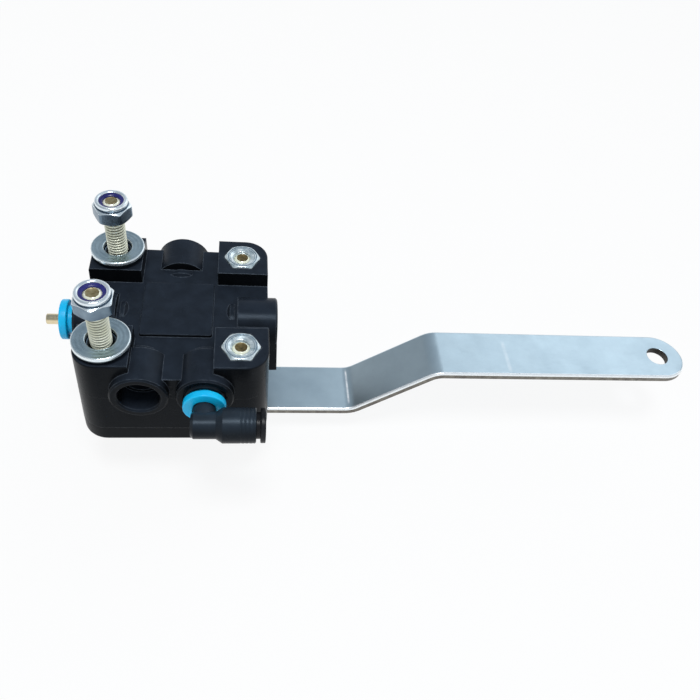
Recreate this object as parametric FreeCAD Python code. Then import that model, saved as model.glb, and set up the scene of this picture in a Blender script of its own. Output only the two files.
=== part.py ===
import FreeCAD, Part
import math
import os

# Leveling valve of an air suspension: a moulded housing with five push-in ports round one deck,
# a rotary disc valve inside it, and a cranked steel lever on the shaft under its base cover.
# Millimetres. The origin is the centre of the bolt square on the mounting face (the pad tops).
# Z points out of the mounting face, X along the lever, Y away from the pair of ports.

# Housing
bolt_spacing = 38.0
bolt_edge_distance = 8.0
body_corner_radius = 7.0
body_draft = 0.6
deck_drop = 5.2
pad_gap = 23.0
pad_edge_radius = 0.6
panel_width = 21.0
panel_depth = 22.0
panel_rise = 1.0
panel_corner_radius = 0.8
panel_edge_radius = 0.3
cut_overrun = 1.0

# Ports
port_drop = 10.3
port_stand_out = 2.9
port_pair_spacing = 18.2
port_boss_diameter = 16.4
port_boss_length = 12.1
port_boss_chamfer = 0.5
port_neck_diameter = 12.2
port_neck_length = 3.2
port_neck_chamfer = 0.9
port_neck_groove_width = 1.0
port_neck_groove_depth = 0.7
port_skirt_depth = 12.7
port_skirt_draft = 0.5
port_mouth_chamfer = 0.5

# Push-in port, measured inward from the port face
tube_diameter = 6.0
tube_clearance = 0.05
port_bore_diameter = 11.6
port_bore_depth = 7.0
seal_bore_diameter = 9.6
seal_bore_depth = 3.4
tube_socket_depth = 4.3
passage_diameter = 3.2

# Valve chamber and the disc valve in it
chamber_below_ports = 8.3
valve_circle_radius = 10.4
gasket_thickness = 1.0
seat_diameter = 28.0
seat_side_gap = 1.0
seat_thickness = 3.0
seat_lug_width = 4.0
seat_lug_length = 1.8
seat_lug_clearance = 0.1
seat_lug_root = 2.0
rotor_side_gap = 2.0
rotor_thickness = 4.0
rotor_groove_width = 3.2
rotor_groove_depth = 1.4
rotor_groove_span = 70.0
rotor_groove_middles = (55.0, 235.0)
disc_spring_outer = 21.0
disc_spring_inner = 14.0
disc_spring_thickness = 0.6
disc_spring_height = 1.6
face_gap = 0.05

# Control shaft
shaft_diameter = 10.0
shaft_flange_diameter = 22.0
shaft_flange_thickness = 2.4
shaft_clearance = 0.05
shaft_hole_relief = 0.2
drive_blade_length = 11.0
drive_blade_width = 3.0
drive_blade_engagement = 2.4
drive_blade_clearance = 0.1
shaft_end_diameter = 8.0
shaft_end_flats = 6.0
shaft_end_stickout = 1.2

# Base cover
cover_floor_thickness = 2.1
cover_recess_depth = 3.9
cover_edge_radius = 1.2
cover_boss_diameter = 20.0
cover_boss_chamfer = 0.8
cover_rib_width = 2.4
cover_rib_height = 3.6
cover_rib_reach = 20.0
bush_wall = 1.0
bush_flange_diameter = 16.0
bush_flange_thickness = 0.8
bush_length = 5.2
shaft_seal_section = 1.6
shaft_seal_land = 0.35
shaft_seal_lip = 1.25
cover_seal_offset = 1.5
cover_seal_section = 1.5
seal_clearance = 0.05
seal_faces = 12

# M6 fasteners
screw_diameter = 6.0
screw_hole_diameter = 6.6
screw_end_chamfer = 0.8
nut_chamfer = 0.6
screw_head_diameter = 12.0
screw_head_height = 3.6
screw_head_clearance = 0.3
screw_socket_flats = 4.0
screw_socket_depth = 2.2
mounting_bolt_length = 50.0
housing_screw_length = 30.0
nut_flats = 10.0
nut_height = 5.0
nut_proud = 0.6
stud_nut_proud = 1.3
nut_pocket_clearance = 0.1
thread_clearance = 0.05
washer_diameter = 16.0
washer_hole_diameter = 8.4
washer_thickness = 1.6
lock_nut_height = 6.0
lock_nut_hex_height = 4.3
lock_nut_collar_diameter = 9.4
lock_nut_collar_round = 0.6
lock_nut_overrun = 0.6
lock_nut_turns = (17.5, 3.0)
insert_diameter = 7.2
insert_drop = 0.4

# Lever
lever_width = 19.0
lever_thickness = 2.5
lever_gap = 2.0
lever_rise = 19.8
lever_first_bend = 57.0
lever_ramp_run = 26.0
lever_length = 165.6
lever_bend_radius = 6.0
lever_hole_diameter = 7.5
lever_fit = 0.05
lever_nut_flats = 13.0
lever_nut_height = 6.0
lever_washer_diameter = 14.5
lever_washer_thickness = 2.0
lever_washer_split = 1.2

# Release collet, measured outward from the port face
collet_flange_diameter = 12.1
collet_flange_thickness = 2.2
collet_stand_off = 1.2
left_collet_stand_off = 2.0
collet_sleeve_diameter = 8.6
collet_nose_diameter = 9.5
collet_nose_length = 1.6
collet_edge_radius = 0.4
collet_nose_play = 0.1
collet_lead_in = 0.3
collet_slot_width = 0.9
collet_slots = 4
cartridge_mouth_diameter = 8.9
cartridge_stop_depth = 3.2
cartridge_clear_diameter = 10.0
cartridge_length = 6.6
grab_ring_thickness = 0.4
grab_ring_cone = 1.0
grab_ring_rim = 1.4
grab_ring_teeth = 8
grab_ring_slit = 0.7
tube_seal_section = 1.7

# Blanking plug in the port opposite the lever
plug_tail_diameter = 3.2
plug_tail_length = 5.1
plug_stem_end_gap = 0.3
plug_shoulder_depth = 0.6
plug_tail_chamfer = 0.3
plug_shoulder_chamfer = 0.4
plug_stem_chamfer = 0.6

# Plug-in elbow in the right port of the pair
elbow_stand_out = 8.9
elbow_knuckle_diameter = 7.6
elbow_knuckle_overhang = 3.5
elbow_knuckle_length = 3.4
elbow_cone_length = 1.8
elbow_barrel_diameter = 10.0
elbow_barrel_end = 14.4
elbow_stem_bore = 3.8
elbow_collar_diameter = 6.8
elbow_collar_gap = 0.7
elbow_ring_count = 4
elbow_ring_pitch = 1.1
elbow_ring_depth = 0.08
elbow_edge_radius = 0.8
elbow_mouth_chamfer = 0.3
elbow_mouth_diameter = 7.8
elbow_mouth_depth = 2.2
elbow_chamber_diameter = 8.6
elbow_chamber_depth = 4.6
elbow_socket_depth = 3.6
elbow_collet_flange_diameter = 9.8
elbow_collet_flange_thickness = 1.4
elbow_collet_sleeve_diameter = 7.5
elbow_collet_nose_diameter = 8.3
elbow_collet_nose_length = 1.0
elbow_grab_ring_drop = 4.0
elbow_grab_ring_rim = 0.5
elbow_seal_section = 1.15

# Places worked out from the sizes above
bolt_half = bolt_spacing / 2
body_half = bolt_half + bolt_edge_distance
body_width = 2 * body_half
joint_width = body_width + 2 * body_draft
joint_corner_radius = body_corner_radius + body_draft
tube_bore = tube_diameter + 2 * tube_clearance
port_reach = body_half + port_stand_out
chamber_diameter = seat_diameter + 2 * seat_side_gap
rotor_diameter = chamber_diameter - 2 * rotor_side_gap
chamber_top = -port_drop - chamber_below_ports
gasket_bottom = chamber_top - gasket_thickness
seat_bottom = gasket_bottom - seat_thickness
rotor_top = seat_bottom - face_gap
rotor_bottom = rotor_top - rotor_thickness
shaft_flange_top = rotor_bottom - disc_spring_height
shaft_flange_bottom = shaft_flange_top - shaft_flange_thickness
cover_floor_top = shaft_flange_bottom - face_gap - bush_flange_thickness
cover_top = cover_floor_top + cover_recess_depth
cover_bottom = cover_floor_top - cover_floor_thickness
bush_bottom = cover_floor_top - bush_length
shaft_seal_groove = shaft_seal_section + 2 * seal_clearance
shaft_seal_middle = bush_bottom - shaft_seal_land - shaft_seal_groove / 2
cover_boss_bottom = shaft_seal_middle - shaft_seal_groove / 2 - shaft_seal_lip
lever_second_bend = lever_first_bend + lever_ramp_run
lever_top = cover_boss_bottom - lever_gap
lever_bottom = lever_top - lever_thickness
lever_washer_bottom = lever_bottom - lever_washer_thickness
lever_nut_bottom = lever_washer_bottom - lever_nut_height
shaft_end = lever_nut_bottom - shaft_end_stickout
shaft_seal_bore = shaft_diameter + 2 * seal_clearance
screw_thread_bore = screw_diameter + 2 * thread_clearance
screw_seat = cover_bottom + screw_head_height
mounting_bolt_end = screw_seat + mounting_bolt_length
lock_nut_top = mounting_bolt_end + lock_nut_overrun
seal_bore_end = port_bore_depth + seal_bore_depth
tube_socket_end = seal_bore_end + tube_socket_depth
collet_flange_face = collet_stand_off + collet_flange_thickness
left_collet_flange_face = left_collet_stand_off + collet_flange_thickness

UP = FreeCAD.Vector(0, 0, 1)
ORIGIN = FreeCAD.Vector(0, 0, 0)


def point(x, y, z):
    return FreeCAD.Vector(x, y, z)


def save(shape, node):
    shape.exportStep("parts/" + node + ".step")


def rod(diameter, low, high, x=0.0, y=0.0):
    """Upright cylinder between two heights."""
    return Part.makeCylinder(diameter / 2, high - low, point(x, y, low), UP)


def lathe(outline):
    """Solid of revolution about Z from corners given as (radius, height)."""
    corners = [point(radius, 0, height) for radius, height in outline]
    wire = Part.makePolygon(corners + corners[:1])
    return Part.Face(wire).revolve(ORIGIN, UP, 360)


def hexagon(flats, low, high, x=0.0, y=0.0):
    """Upright hexagonal prism with two corners along X."""
    corner = flats / math.sqrt(3)
    corners = []
    for step in range(7):
        angle = math.radians(60 * step)
        corners.append(point(x + corner * math.cos(angle), y + corner * math.sin(angle), low))
    return Part.Face(Part.makePolygon(corners)).extrude(point(0, 0, high - low))


def block(width, depth, low, high, x=0.0, y=0.0):
    """Upright box centred on a point in plan."""
    return Part.makeBox(width, depth, high - low, point(x - width / 2, y - depth / 2, low))


def rounded_square(width, radius, height):
    """Outline of a square with round corners, at one height."""
    square = Part.Face(Part.makePolygon([
        point(-width / 2, -width / 2, 0), point(width / 2, -width / 2, 0), point(width / 2, width / 2, 0),
        point(-width / 2, width / 2, 0), point(-width / 2, -width / 2, 0),
    ])).extrude(UP)
    rounded = square.makeFillet(radius, upright_edges(square))
    outline = [face.OuterWire for face in rounded.Faces if abs(face.CenterOfMass.z) < 1e-6][0]
    outline.translate(point(0, 0, height))
    return outline


def upright_edges(shape):
    """Straight edges that run along Z."""
    chosen = []
    for edge in shape.Edges:
        if edge.Curve.TypeId == "Part::GeomLine" and abs(edge.tangentAt(edge.FirstParameter).z) > 0.99:
            chosen.append(edge)
    return chosen


def edges_at(shape, height):
    """Edges that lie whole at one height."""
    chosen = []
    for edge in shape.Edges:
        box = edge.BoundBox
        if abs(box.ZMin - height) < 1e-4 and abs(box.ZMax - height) < 1e-4:
            chosen.append(edge)
    return chosen


def turned(shape, angle):
    """Copy turned about Z."""
    copy = shape.copy()
    copy.rotate(ORIGIN, UP, angle)
    return copy


def at_port(shape, port):
    """Put a shape made along Z, with Z pointing outward from the port face, at a port."""
    place, outward = port
    copy = shape.copy()
    copy.Placement = FreeCAD.Placement(place, FreeCAD.Rotation(UP, outward)).multiply(copy.Placement)
    return copy


PORTS = {
    "front_left": (point(-port_pair_spacing / 2, -port_reach, -port_drop), point(0, -1, 0)),
    "front_right": (point(port_pair_spacing / 2, -port_reach, -port_drop), point(0, -1, 0)),
    "left": (point(-port_reach, 0, -port_drop), point(-1, 0, 0)),
    "right": (point(port_reach, 0, -port_drop), point(1, 0, 0)),
    "back": (point(0, port_reach, -port_drop), point(0, 1, 0)),
}

BOLT_SQUARE = [(sx * bolt_half, sy * bolt_half) for sx in (-1, 1) for sy in (-1, 1)]
STUD_PLACES = [place for place in BOLT_SQUARE if place[0] < 0]
SCREW_PLACES = [place for place in BOLT_SQUARE if place[0] > 0]


def valve_points():
    """Where the drop holes of the ports meet the valve seat, in plan."""
    pair_x = port_pair_spacing / 2
    pair_y = -math.sqrt(valve_circle_radius ** 2 - pair_x ** 2)
    return {
        "front_left": (-pair_x, pair_y),
        "front_right": (pair_x, pair_y),
        "left": (-valve_circle_radius, 0),
        "right": (valve_circle_radius, 0),
        "back": (0, valve_circle_radius),
    }


def port_boss():
    """Barrel of one port with its narrower neck towards the middle of the deck."""
    radius = port_boss_diameter / 2
    neck_radius = port_neck_diameter / 2
    neck_end = port_boss_length + port_neck_length
    return lathe([
        (0, 0),
        (radius - port_boss_chamfer, 0),
        (radius, -port_boss_chamfer),
        (radius, -port_boss_length),
        (neck_radius - port_neck_groove_depth, -port_boss_length),
        (neck_radius - port_neck_groove_depth, -port_boss_length - port_neck_groove_width),
        (neck_radius, -port_boss_length - port_neck_groove_width),
        (neck_radius, port_neck_chamfer - neck_end),
        (neck_radius - port_neck_chamfer, -neck_end),
        (0, -neck_end),
    ])


def port_bore(passage_length):
    """Stepped bore of a push-in port: cartridge, tube seal, tube socket and air passage."""
    mouth = port_bore_diameter / 2
    return lathe([
        (0, cut_overrun),
        (mouth + port_mouth_chamfer + cut_overrun, cut_overrun),
        (mouth, -port_mouth_chamfer),
        (mouth, -port_bore_depth),
        (seal_bore_diameter / 2, -port_bore_depth),
        (seal_bore_diameter / 2, -seal_bore_end),
        (tube_bore / 2, -seal_bore_end),
        (tube_bore / 2, -tube_socket_end),
        (passage_diameter / 2, -tube_socket_end),
        (passage_diameter / 2, -passage_length),
        (0, -passage_length),
    ])


def port_skirt(side):
    """Foot under a side port, so that the boss draws from the mould; its face leans out as it goes down."""
    half = port_boss_diameter / 2
    bottom = -port_drop - port_skirt_depth
    corners = [
        point(side * bolt_half, -half, -port_drop),
        point(side * port_reach, -half, -port_drop),
        point(side * (port_reach + port_skirt_draft), -half, bottom),
        point(side * bolt_half, -half, bottom),
    ]
    face = Part.Face(Part.makePolygon(corners + corners[:1]))
    return face.extrude(point(0, port_boss_diameter, 0))


def valve_body():
    """Moulded housing: four pads, a sunk deck, five port bosses and the valve chamber."""
    body = Part.makeLoft([
        rounded_square(joint_width, joint_corner_radius, cover_top),
        rounded_square(body_width, body_corner_radius, 0),
    ], True, True)
    body = body.makeFillet(pad_edge_radius, edges_at(body, 0))
    for width, depth in ((pad_gap, 2 * body_width), (2 * body_width, pad_gap)):
        body = body.cut(block(width, depth, -deck_drop, cut_overrun))
    panel = block(panel_width, panel_depth, -deck_drop - cut_overrun, -deck_drop + panel_rise)
    panel = panel.makeFillet(panel_corner_radius, upright_edges(panel))
    panel = panel.makeFillet(panel_edge_radius, edges_at(panel, -deck_drop + panel_rise))
    additions = [panel, port_skirt(-1), port_skirt(1)]
    additions += [at_port(port_boss(), port) for port in PORTS.values()]
    body = body.fuse(additions).removeSplitter()
    cuts = [rod(chamber_diameter, cover_top - cut_overrun, chamber_top)]
    drops = valve_points()
    for name, port in PORTS.items():
        place, outward = port
        drop_x, drop_y = drops[name]
        run = abs(outward.x * (place.x - drop_x) + outward.y * (place.y - drop_y))
        cuts.append(at_port(port_bore(run), port))
        cuts.append(rod(passage_diameter, chamber_top - cut_overrun, -port_drop, drop_x, drop_y))
    for lug in (0, 180):
        notch = seat_lug(seat_lug_clearance, chamber_top, cover_top - cut_overrun)
        cuts.append(turned(notch, lug))
    for x, y in BOLT_SQUARE:
        cuts.append(rod(screw_hole_diameter, cover_top - cut_overrun, cut_overrun, x, y))
        pocket = nut_flats + 2 * nut_pocket_clearance
        cuts.append(hexagon(pocket, proud_at(x) - nut_height, cut_overrun, x, y))
    return body.cut(cuts)


def seat_lug(clearance, top, bottom):
    """Lug that keeps the valve seat from turning, or the notch it sits in."""
    reach = seat_diameter / 2 + seat_lug_length + clearance
    inner = seat_diameter / 2 - seat_lug_root
    width = seat_lug_width + 2 * clearance
    return block(width, reach - inner, bottom, top, y=(reach + inner) / 2)


def base_cover():
    """Moulded cover under the chamber, with the ribbed shaft boss and sunk screw heads."""
    cover = block(joint_width, joint_width, cover_bottom, cover_top)
    cover = cover.makeFillet(joint_corner_radius, upright_edges(cover))
    cover = cover.makeFillet(cover_edge_radius, edges_at(cover, cover_bottom))
    boss_radius = cover_boss_diameter / 2
    boss = lathe([
        (0, cover_floor_top),
        (boss_radius, cover_floor_top),
        (boss_radius, cover_boss_bottom + cover_boss_chamfer),
        (boss_radius - cover_boss_chamfer, cover_boss_bottom),
        (0, cover_boss_bottom),
    ])
    additions = [boss]
    for quarter in range(4):
        additions.append(turned(cover_rib(), 90 * quarter))
    cover = cover.fuse(additions).removeSplitter()
    bush_bore = shaft_diameter + 2 * bush_wall
    seal_outer = shaft_seal_bore + 2 * shaft_seal_section + 2 * seal_clearance
    seal_half = shaft_seal_groove / 2
    cuts = [
        rod(chamber_diameter, cover_floor_top, cover_top + cut_overrun),
        rod(bush_bore, bush_bottom, cover_floor_top + cut_overrun),
        rod(shaft_diameter + shaft_hole_relief, cover_boss_bottom - cut_overrun, cover_floor_top),
        rod(seal_outer, shaft_seal_middle - seal_half, shaft_seal_middle + seal_half),
        cover_seal_ring(seal_clearance, cut_overrun),
    ]
    for x, y in BOLT_SQUARE:
        head_hole = screw_head_diameter + 2 * screw_head_clearance
        cuts.append(rod(screw_hole_diameter, cover_bottom, cover_top + cut_overrun, x, y))
        cuts.append(rod(head_hole, cover_bottom - cut_overrun, screw_seat, x, y))
    return cover.cut(cuts)


def cover_rib():
    """Tapered rib from the shaft boss out along the underside of the cover."""
    half = cover_rib_width / 2
    inner = cover_boss_diameter / 2 - cut_overrun
    low = cover_bottom - cover_rib_height
    corners = [
        point(inner, -half, cover_bottom + cut_overrun),
        point(cover_rib_reach, -half, cover_bottom + cut_overrun),
        point(cover_rib_reach, -half, cover_bottom),
        point(inner, -half, low),
    ]
    face = Part.Face(Part.makePolygon(corners + corners[:1]))
    return face.extrude(point(0, cover_rib_width, 0))


def cover_seal_ring(clearance, lift):
    """Square-section ring that seals the joint between housing and cover, or its groove."""
    low = cover_top - cover_seal_section
    inner = chamber_diameter + 2 * cover_seal_offset
    outer = inner + 2 * cover_seal_section
    ring = rod(outer + 2 * clearance, low, cover_top + lift)
    return ring.cut(rod(inner - 2 * clearance, low, cover_top + lift))


def seat_gasket():
    """Rubber gasket that seals the valve seat against the roof of the chamber."""
    gasket = rod(seat_diameter, gasket_bottom, chamber_top)
    return gasket.cut([rod(passage_diameter, gasket_bottom, chamber_top, x, y)
                       for x, y in valve_points().values()])


def valve_seat():
    """Fixed ported disc, held from turning by two lugs."""
    seat = rod(seat_diameter, seat_bottom, gasket_bottom)
    seat = seat.fuse([turned(seat_lug(0, gasket_bottom, seat_bottom), lug) for lug in (0, 180)])
    return seat.removeSplitter().cut([rod(passage_diameter, seat_bottom, gasket_bottom, x, y)
                                      for x, y in valve_points().values()])


def rotor_groove(middle):
    """Kidney groove in the rotor's face that joins neighbouring ports as the lever swings."""
    half_width = rotor_groove_width / 2
    low = rotor_top - rotor_groove_depth
    profile = Part.Face(Part.makePolygon([
        point(valve_circle_radius - half_width, 0, low),
        point(valve_circle_radius + half_width, 0, low),
        point(valve_circle_radius + half_width, 0, rotor_top + cut_overrun),
        point(valve_circle_radius - half_width, 0, rotor_top + cut_overrun),
        point(valve_circle_radius - half_width, 0, low),
    ]))
    groove = profile.revolve(ORIGIN, UP, rotor_groove_span)
    ends = []
    for angle in (0, rotor_groove_span):
        end = rod(rotor_groove_width, low, rotor_top + cut_overrun, valve_circle_radius)
        ends.append(turned(end, angle))
    return turned(groove.fuse(ends), middle - rotor_groove_span / 2)


def rotor_disc():
    """Turning disc of the valve, driven by the blade on the shaft."""
    rotor = rod(rotor_diameter, rotor_bottom, rotor_top)
    slot_top = rotor_bottom + drive_blade_engagement + drive_blade_clearance
    slot = block(drive_blade_length + 2 * drive_blade_clearance,
                 drive_blade_width + 2 * drive_blade_clearance, rotor_bottom - cut_overrun, slot_top)
    return rotor.cut([slot] + [rotor_groove(middle) for middle in rotor_groove_middles])


def disc_spring():
    """Cone-shaped spring washer that presses the rotor up on its seat."""
    outer = disc_spring_outer / 2
    inner = disc_spring_inner / 2
    return lathe([
        (outer, shaft_flange_top),
        (outer, shaft_flange_top + disc_spring_thickness),
        (inner, rotor_bottom),
        (inner, rotor_bottom - disc_spring_thickness),
    ])


def flatted(shape, flats, low, high):
    """Cut two flats on a round end, square to X."""
    size = 4 * shape.BoundBox.XLength
    sides = []
    for side in (-1, 1):
        sides.append(block(size, size, low, high, x=side * (flats / 2 + size / 2)))
    return shape.cut(sides)


def control_shaft():
    """Shaft with its flange and drive blade inside and two flats for the lever outside."""
    stem_radius = shaft_diameter / 2
    end_radius = shaft_end_diameter / 2
    shaft = lathe([
        (0, shaft_flange_top),
        (shaft_flange_diameter / 2, shaft_flange_top),
        (shaft_flange_diameter / 2, shaft_flange_bottom),
        (stem_radius, shaft_flange_bottom),
        (stem_radius, lever_top),
        (end_radius, lever_top),
        (end_radius, shaft_end + screw_end_chamfer),
        (end_radius - screw_end_chamfer, shaft_end),
        (0, shaft_end),
    ])
    shaft = flatted(shaft, shaft_end_flats, lever_bottom, lever_top)
    blade_top = rotor_bottom + drive_blade_engagement
    blade = block(drive_blade_length, drive_blade_width, shaft_flange_top, blade_top)
    return shaft.fuse(blade).removeSplitter()


def shaft_bush():
    """Flanged plain bush in the cover that carries the shaft."""
    bore = shaft_diameter / 2 + shaft_clearance
    wall = shaft_diameter / 2 + bush_wall
    flange_top = cover_floor_top + bush_flange_thickness
    return lathe([
        (bore, flange_top),
        (bush_flange_diameter / 2, flange_top),
        (bush_flange_diameter / 2, cover_floor_top),
        (wall, cover_floor_top),
        (wall, bush_bottom),
        (bore, bush_bottom),
    ])


def ring_seal(bore, section, height):
    """O-ring about Z, sized from the bore that it grips, its round section drawn with few faces."""
    middle = (bore + section) / 2
    outline = []
    for step in range(seal_faces):
        angle = 2 * math.pi * step / seal_faces
        outline.append((middle + section / 2 * math.cos(angle), height + section / 2 * math.sin(angle)))
    return lathe(outline)


def screw(length, x, y):
    """M6 screw with a round socket head, entered from under the cover."""
    radius = screw_diameter / 2
    end = screw_seat + length
    head_radius = screw_head_diameter / 2
    body = lathe([
        (0, end),
        (radius - screw_end_chamfer, end),
        (radius, end - screw_end_chamfer),
        (radius, screw_seat),
        (head_radius, screw_seat),
        (head_radius, cover_bottom + screw_end_chamfer),
        (head_radius - screw_end_chamfer, cover_bottom),
        (0, cover_bottom),
    ])
    socket_top = cover_bottom + screw_socket_depth
    body = body.cut(hexagon(screw_socket_flats, cover_bottom - cut_overrun, socket_top))
    body.translate(point(x, y, 0))
    return body


def nut_blank(flats, low, high, bore):
    """Hexagon nut with both faces turned to a chamfer."""
    corner = flats / math.sqrt(3)
    drop = (corner - flats / 2) * nut_chamfer
    turned_blank = lathe([
        (0, low),
        (flats / 2, low),
        (corner, low + drop),
        (corner, high - drop),
        (flats / 2, high),
        (0, high),
    ])
    return hexagon(flats, low, high).common(turned_blank).cut(rod(bore, low, high))


def proud_at(x):
    """How far a captive nut stands out of its pad; those under the studs stand higher."""
    return stud_nut_proud if x < 0 else nut_proud


def captive_nut(x, y):
    """Nut sunk in the hexagonal pocket of a pad, standing a little proud of it."""
    nut = nut_blank(nut_flats, proud_at(x) - nut_height, proud_at(x), screw_thread_bore)
    nut.translate(point(x, y, 0))
    return nut


def flat_washer(x, y):
    """Plain washer lying on a captive nut round a mounting stud."""
    top = stud_nut_proud + washer_thickness
    washer = rod(washer_diameter, stud_nut_proud, top, x, y)
    return washer.cut(rod(washer_hole_diameter, stud_nut_proud, top, x, y))


def lock_nut(x, y, turn):
    """Self-locking nut: hexagon below, rolled collar above that holds the insert."""
    low = lock_nut_top - lock_nut_height
    hex_top = low + lock_nut_hex_height
    bore = screw_thread_bore
    hexagon_part = nut_blank(nut_flats, low, hex_top, bore)
    collar_radius = lock_nut_collar_diameter / 2
    insert_radius = insert_diameter / 2
    collar = lathe([
        (bore / 2, low + cut_overrun),
        (collar_radius, low + cut_overrun),
        (collar_radius, lock_nut_top - lock_nut_collar_round),
        (collar_radius - lock_nut_collar_round, lock_nut_top),
        (insert_radius, lock_nut_top),
        (insert_radius, hex_top),
        (bore / 2, hex_top),
    ])
    nut = hexagon_part.fuse(collar).removeSplitter()
    nut.rotate(ORIGIN, UP, turn)
    nut.translate(point(x, y, 0))
    return nut


def nylon_insert(x, y):
    """Nylon ring in the collar of a lock nut."""
    low = lock_nut_top - lock_nut_height + lock_nut_hex_height
    top = lock_nut_top - insert_drop
    ring = rod(insert_diameter, low, top, x, y)
    return ring.cut(rod(screw_thread_bore, low, top, x, y))


def lever_arm():
    """Flat steel lever: cranked side profile trimmed to a bar with round ends."""
    half = lever_width / 2
    start = -lever_width
    end = lever_length + lever_width
    high = lever_top + lever_rise
    slope = math.atan2(lever_rise, lever_second_bend - lever_first_bend)
    shift = lever_thickness * math.tan(slope / 2)
    corners = [
        point(start, -half, lever_top),
        point(lever_first_bend, -half, lever_top),
        point(lever_second_bend, -half, high),
        point(end, -half, high),
        point(end, -half, high - lever_thickness),
        point(lever_second_bend + shift, -half, high - lever_thickness),
        point(lever_first_bend + shift, -half, lever_bottom),
        point(start, -half, lever_bottom),
    ]
    face = Part.Face(Part.makePolygon(corners + corners[:1]))
    bar = face.extrude(point(0, lever_width, 0))
    inside = [corners[1], corners[5]]
    outside = [corners[2], corners[6]]
    bar = bar.makeFillet(lever_bend_radius, bend_edges(bar, inside))
    bar = bar.makeFillet(lever_bend_radius + lever_thickness, bend_edges(bar, outside))
    outline = block(lever_length, lever_width, lever_bottom, high, x=lever_length / 2)
    ends = [rod(lever_width, lever_bottom, high), rod(lever_width, lever_bottom, high, lever_length)]
    bar = bar.common(outline.fuse(ends).removeSplitter())
    hole = rod(shaft_end_diameter + 2 * lever_fit, lever_bottom, lever_top)
    hole = flatted(hole, shaft_end_flats + 2 * lever_fit, lever_bottom, lever_top)
    return bar.cut([hole, rod(lever_hole_diameter, lever_bottom, high, lever_length)])


def bend_edges(bar, corners):
    """Edges across the bar that pass through the given corners of its side profile."""
    chosen = []
    for edge in bar.Edges:
        start = edge.Vertexes[0].Point
        end = edge.Vertexes[-1].Point
        for corner in corners:
            across = corner - point(0, corner.y, 0)
            starts_there = (start - point(0, start.y, 0)).distanceToPoint(across) < 1e-3
            ends_there = (end - point(0, end.y, 0)).distanceToPoint(across) < 1e-3
            if starts_there and ends_there:
                chosen.append(edge)
    return chosen


def lever_washer():
    """Split spring washer under the lever."""
    washer = rod(lever_washer_diameter, lever_washer_bottom, lever_bottom)
    bore = rod(shaft_end_diameter + 2 * lever_fit, lever_washer_bottom, lever_bottom)
    reach = lever_washer_diameter
    split = block(lever_washer_split, reach, lever_washer_bottom, lever_bottom, y=reach / 2)
    return washer.cut([bore, split])


def lever_nut():
    """Nut that clamps the lever on the shaft."""
    bore = shaft_end_diameter + 2 * thread_clearance
    return nut_blank(lever_nut_flats, lever_nut_bottom, lever_washer_bottom, bore)


def collet(flange, thickness, back, sleeve, nose, nose_start, nose_length):
    """Release collet: a flange to press, and a slotted sleeve with a nose that keeps it in."""
    bore = tube_bore / 2
    face = back + thickness
    nose_end = nose_start + nose_length
    body = lathe([
        (bore, face),
        (flange / 2, face),
        (flange / 2, back),
        (sleeve / 2, back),
        (sleeve / 2, -nose_start),
        (nose / 2, -nose_start),
        (bore + collet_lead_in, -nose_end),
        (bore, -nose_end),
    ])
    rim = []
    for candidate in edges_at(body, face):
        if candidate.BoundBox.XLength > sleeve:
            rim.append(candidate)
    body = body.makeFillet(collet_edge_radius, rim)
    slots = []
    for step in range(collet_slots // 2):
        slot = block(2 * sleeve, collet_slot_width, -nose_end, -nose_start / 2)
        slots.append(turned(slot, 180 * step / (collet_slots // 2)))
    return body.cut(slots)


def port_collet(stand_off):
    """Release collet of a port in the housing, at rest with its flange off the port face."""
    nose_start = cartridge_stop_depth + collet_nose_play
    return collet(collet_flange_diameter, collet_flange_thickness, stand_off, collet_sleeve_diameter,
                  collet_nose_diameter, nose_start, collet_nose_length)


def cartridge():
    """Ring pressed into the port: it guides the collet and clamps the grab ring."""
    outer = port_bore_diameter / 2
    mouth = cartridge_mouth_diameter / 2
    clear = cartridge_clear_diameter / 2
    return lathe([
        (mouth, 0),
        (outer - port_mouth_chamfer, 0),
        (outer, -port_mouth_chamfer),
        (outer, -cartridge_length),
        (clear, -cartridge_length),
        (clear, -cartridge_stop_depth),
        (mouth, -cartridge_stop_depth),
    ])


def grab_ring(outer_diameter, rim_width, top):
    """Toothed steel ring that bites the tube; its teeth lean inward."""
    outer = outer_diameter / 2
    bend = outer - rim_width
    bore = tube_bore / 2
    thick = grab_ring_thickness
    ring = lathe([
        (bend, top),
        (outer, top),
        (outer, top - thick),
        (bend, top - thick),
        (bore, top - thick - grab_ring_cone),
        (bore, top - grab_ring_cone),
    ])
    slits = []
    for tooth in range(grab_ring_teeth // 2):
        slit = block(2 * bend, grab_ring_slit, top - thick - grab_ring_cone, top)
        slits.append(turned(slit, 360 / grab_ring_teeth * tooth))
    return ring.cut(slits)


def port_grab_ring():
    """Grab ring under the cartridge of a port in the housing."""
    return grab_ring(port_bore_diameter - 2 * seal_clearance, grab_ring_rim, -cartridge_length)


def port_tube_seal():
    """O-ring that seals on the tube or plug in a port of the housing."""
    middle = -port_bore_depth - seal_bore_depth / 2
    return ring_seal(tube_bore, tube_seal_section, middle)


def port_plug():
    """Brass blanking plug: a tube-sized stem in the port and a thin tail to pull it by."""
    stem = tube_diameter / 2
    tail = plug_tail_diameter / 2
    shoulder = left_collet_flange_face - plug_shoulder_depth
    tip = left_collet_flange_face + plug_tail_length - plug_shoulder_depth
    end = -tube_socket_end + plug_stem_end_gap
    return lathe([
        (0, tip),
        (tail - plug_tail_chamfer, tip),
        (tail, tip - plug_tail_chamfer),
        (tail, shoulder),
        (stem - plug_shoulder_chamfer, shoulder),
        (stem, shoulder - plug_shoulder_chamfer),
        (stem, end + plug_stem_chamfer),
        (stem - plug_stem_chamfer, end),
        (0, end),
    ])


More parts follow.
